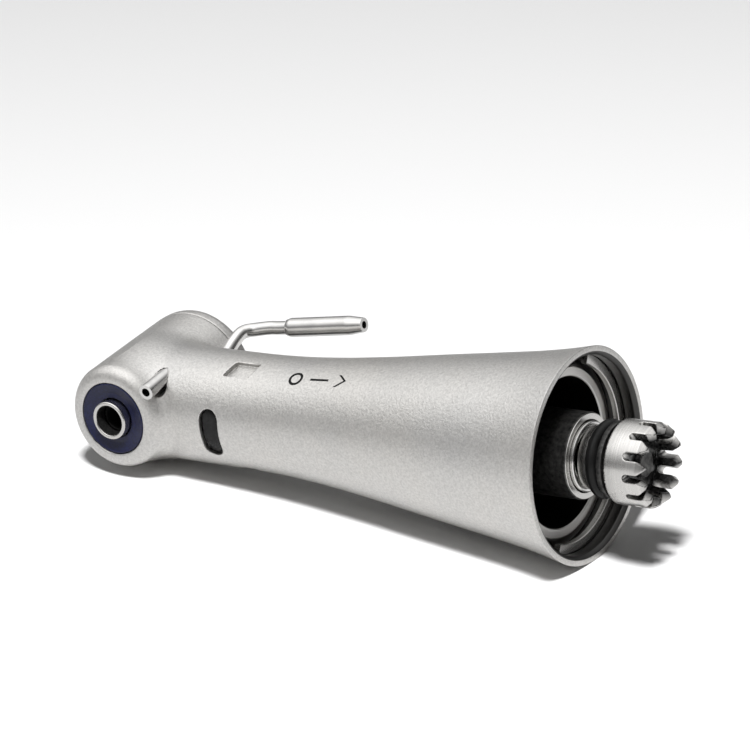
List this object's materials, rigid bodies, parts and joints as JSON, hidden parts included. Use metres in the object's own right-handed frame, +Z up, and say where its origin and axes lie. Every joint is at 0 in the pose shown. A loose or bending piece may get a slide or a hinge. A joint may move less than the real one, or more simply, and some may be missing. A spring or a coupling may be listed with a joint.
{
  "type": "contra angle handpiece",
  "caption": "Short surgical contra-angle dental handpiece: tapered satin steel body, push-button chuck head, planetary and bevel reduction, toothed drive clutch and irrigation tube.",
  "frame": {"origin": "centre of the flat end of the drive shaft, inside the clutch crown", "axes": "+X along the body axis out of the tail, -Y the way the bur points out of the head, +Y the push button, +Z up when the handpiece lies on its side"},
  "size_m": [0.0628, 0.0201, 0.02],
  "materials": {
    "satin_steel": "satin",
    "polished_steel": "polished",
    "machined_steel": "machined",
    "dark_steel": "dark oxide, satin",
    "bronze": "machined",
    "black_rubber": "smooth",
    "navy_collar": "fine-grained",
    "light_glass": "polished"
  },
  "bodies": {
    "housing": {"body_shell": "satin_steel", "socket_sleeve": "machined_steel", "snap_ring": "polished_steel", "bearing_tube": "dark_steel", "bearing_washer": "polished_steel", "rear_bearing_outer_race": "polished_steel", "shaft_bush": "bronze", "light_inlet": "bronze", "light_guide_rod": "light_glass", "light_window": "light_glass", "ring_gear": "machined_steel", "neck_bearing_outer_race": "polished_steel", "pinion_bush": "bronze", "chuck_collar": "navy_collar", "lower_bearing_outer_race": "polished_steel", "upper_bearing_outer_race": "polished_steel", "spring_washer": "machined_steel", "button_spring": "polished_steel", "head_cap": "satin_steel", "spray_nozzle": "polished_steel", "irrigation_tube": "polished_steel", "hose_barb": "polished_steel"},
    "input": {"input_shaft": "polished_steel", "clutch_crown": "polished_steel", "shaft_o_ring": "black_rubber", "sun_gear_1": "polished_steel", "rear_bearing_inner_race": "polished_steel"},
    "rear_cage": {"rear_bearing_ball_cage": "polished_steel"},
    "carrier_1": {"planet_carrier_1": "machined_steel", "sun_gear_2": "polished_steel"},
    "planet_1a": {"planet_gear_1a": "polished_steel"},
    "planet_1b": {"planet_gear_1b": "polished_steel"},
    "planet_1c": {"planet_gear_1c": "polished_steel"},
    "carrier_2": {"planet_carrier_2": "machined_steel", "output_shaft": "polished_steel", "neck_bearing_inner_race": "polished_steel", "bevel_pinion": "polished_steel"},
    "planet_2a": {"planet_gear_2a": "polished_steel"},
    "planet_2b": {"planet_gear_2b": "polished_steel"},
    "planet_2c": {"planet_gear_2c": "polished_steel"},
    "neck_cage": {"neck_bearing_ball_cage": "polished_steel"},
    "spindle": {"chuck_spindle": "polished_steel", "chuck_collet": "machined_steel", "crown_wheel": "polished_steel", "lower_bearing_inner_race": "polished_steel", "upper_bearing_inner_race": "polished_steel", "plunger_spring": "polished_steel"},
    "lower_cage": {"lower_bearing_ball_cage": "polished_steel"},
    "upper_cage": {"upper_bearing_ball_cage": "polished_steel"},
    "plunger": {"release_plunger": "machined_steel"},
    "button": {"push_button": "satin_steel"}
  },
  "joints": [
    {"name": "input_spin", "type": "hinge", "parent": "housing", "child": "input", "pos_m": [0, 0, 0], "axis": [1, 0, 0], "continuous": true},
    {"name": "rear_cage_spin", "type": "hinge", "parent": "housing", "child": "rear_cage", "pos_m": [0, 0, 0], "axis": [1, 0, 0], "continuous": true},
    {"name": "carrier_1_spin", "type": "hinge", "parent": "housing", "child": "carrier_1", "pos_m": [0, 0, 0], "axis": [1, 0, 0], "continuous": true},
    {"name": "planet_1a_spin", "type": "hinge", "parent": "carrier_1", "child": "planet_1a", "pos_m": [0, 0.0024, 0], "axis": [1, 0, 0], "continuous": true},
    {"name": "planet_1b_spin", "type": "hinge", "parent": "carrier_1", "child": "planet_1b", "pos_m": [0, -0.0012, 0.00208], "axis": [1, 0, 0], "continuous": true},
    {"name": "planet_1c_spin", "type": "hinge", "parent": "carrier_1", "child": "planet_1c", "pos_m": [0, -0.0012, -0.00208], "axis": [1, 0, 0], "continuous": true},
    {"name": "carrier_2_spin", "type": "hinge", "parent": "housing", "child": "carrier_2", "pos_m": [0, 0, 0], "axis": [1, 0, 0], "continuous": true},
    {"name": "planet_2a_spin", "type": "hinge", "parent": "carrier_2", "child": "planet_2a", "pos_m": [0, 0.0024, 0], "axis": [1, 0, 0], "continuous": true},
    {"name": "planet_2b_spin", "type": "hinge", "parent": "carrier_2", "child": "planet_2b", "pos_m": [0, -0.0012, 0.00208], "axis": [1, 0, 0], "continuous": true},
    {"name": "planet_2c_spin", "type": "hinge", "parent": "carrier_2", "child": "planet_2c", "pos_m": [0, -0.0012, -0.00208], "axis": [1, 0, 0], "continuous": true},
    {"name": "neck_cage_spin", "type": "hinge", "parent": "housing", "child": "neck_cage", "pos_m": [0, 0, 0], "axis": [1, 0, 0], "continuous": true},
    {"name": "bur_spin", "type": "hinge", "parent": "housing", "child": "spindle", "pos_m": [-0.0549, 0, 0], "axis": [0, 1, 0], "continuous": true},
    {"name": "lower_cage_spin", "type": "hinge", "parent": "housing", "child": "lower_cage", "pos_m": [-0.0549, 0, 0], "axis": [0, 1, 0], "continuous": true},
    {"name": "upper_cage_spin", "type": "hinge", "parent": "housing", "child": "upper_cage", "pos_m": [-0.0549, 0, 0], "axis": [0, 1, 0], "continuous": true},
    {"name": "button_press", "type": "slide", "parent": "housing", "child": "button", "axis": [0, -1, 0], "range_m": [0, 0.00055], "deforming": ["button_spring"]},
    {"name": "plunger_slide", "type": "slide", "parent": "spindle", "child": "plunger", "axis": [0, -1, 0], "range_m": [0, 0.00055], "deforming": ["plunger_spring"]}
  ],
  "couplings": [
    {"joint": "rear_cage_spin", "follows": "input_spin", "ratio": 0.43182},
    {"joint": "carrier_1_spin", "follows": "input_spin", "ratio": 0.25},
    {"joint": "planet_1a_spin", "follows": "input_spin", "ratio": -0.75},
    {"joint": "planet_1b_spin", "follows": "input_spin", "ratio": -0.75},
    {"joint": "planet_1c_spin", "follows": "input_spin", "ratio": -0.75},
    {"joint": "carrier_2_spin", "follows": "input_spin", "ratio": 0.0625},
    {"joint": "planet_2a_spin", "follows": "input_spin", "ratio": -0.1875},
    {"joint": "planet_2b_spin", "follows": "input_spin", "ratio": -0.1875},
    {"joint": "planet_2c_spin", "follows": "input_spin", "ratio": -0.1875},
    {"joint": "neck_cage_spin", "follows": "input_spin", "ratio": 0.02439},
    {"joint": "bur_spin", "follows": "input_spin", "ratio": -0.05},
    {"joint": "lower_cage_spin", "follows": "input_spin", "ratio": -0.02093},
    {"joint": "upper_cage_spin", "follows": "input_spin", "ratio": -0.020763},
    {"joint": "plunger_slide", "follows": "button_press", "ratio": 1}
  ]
}
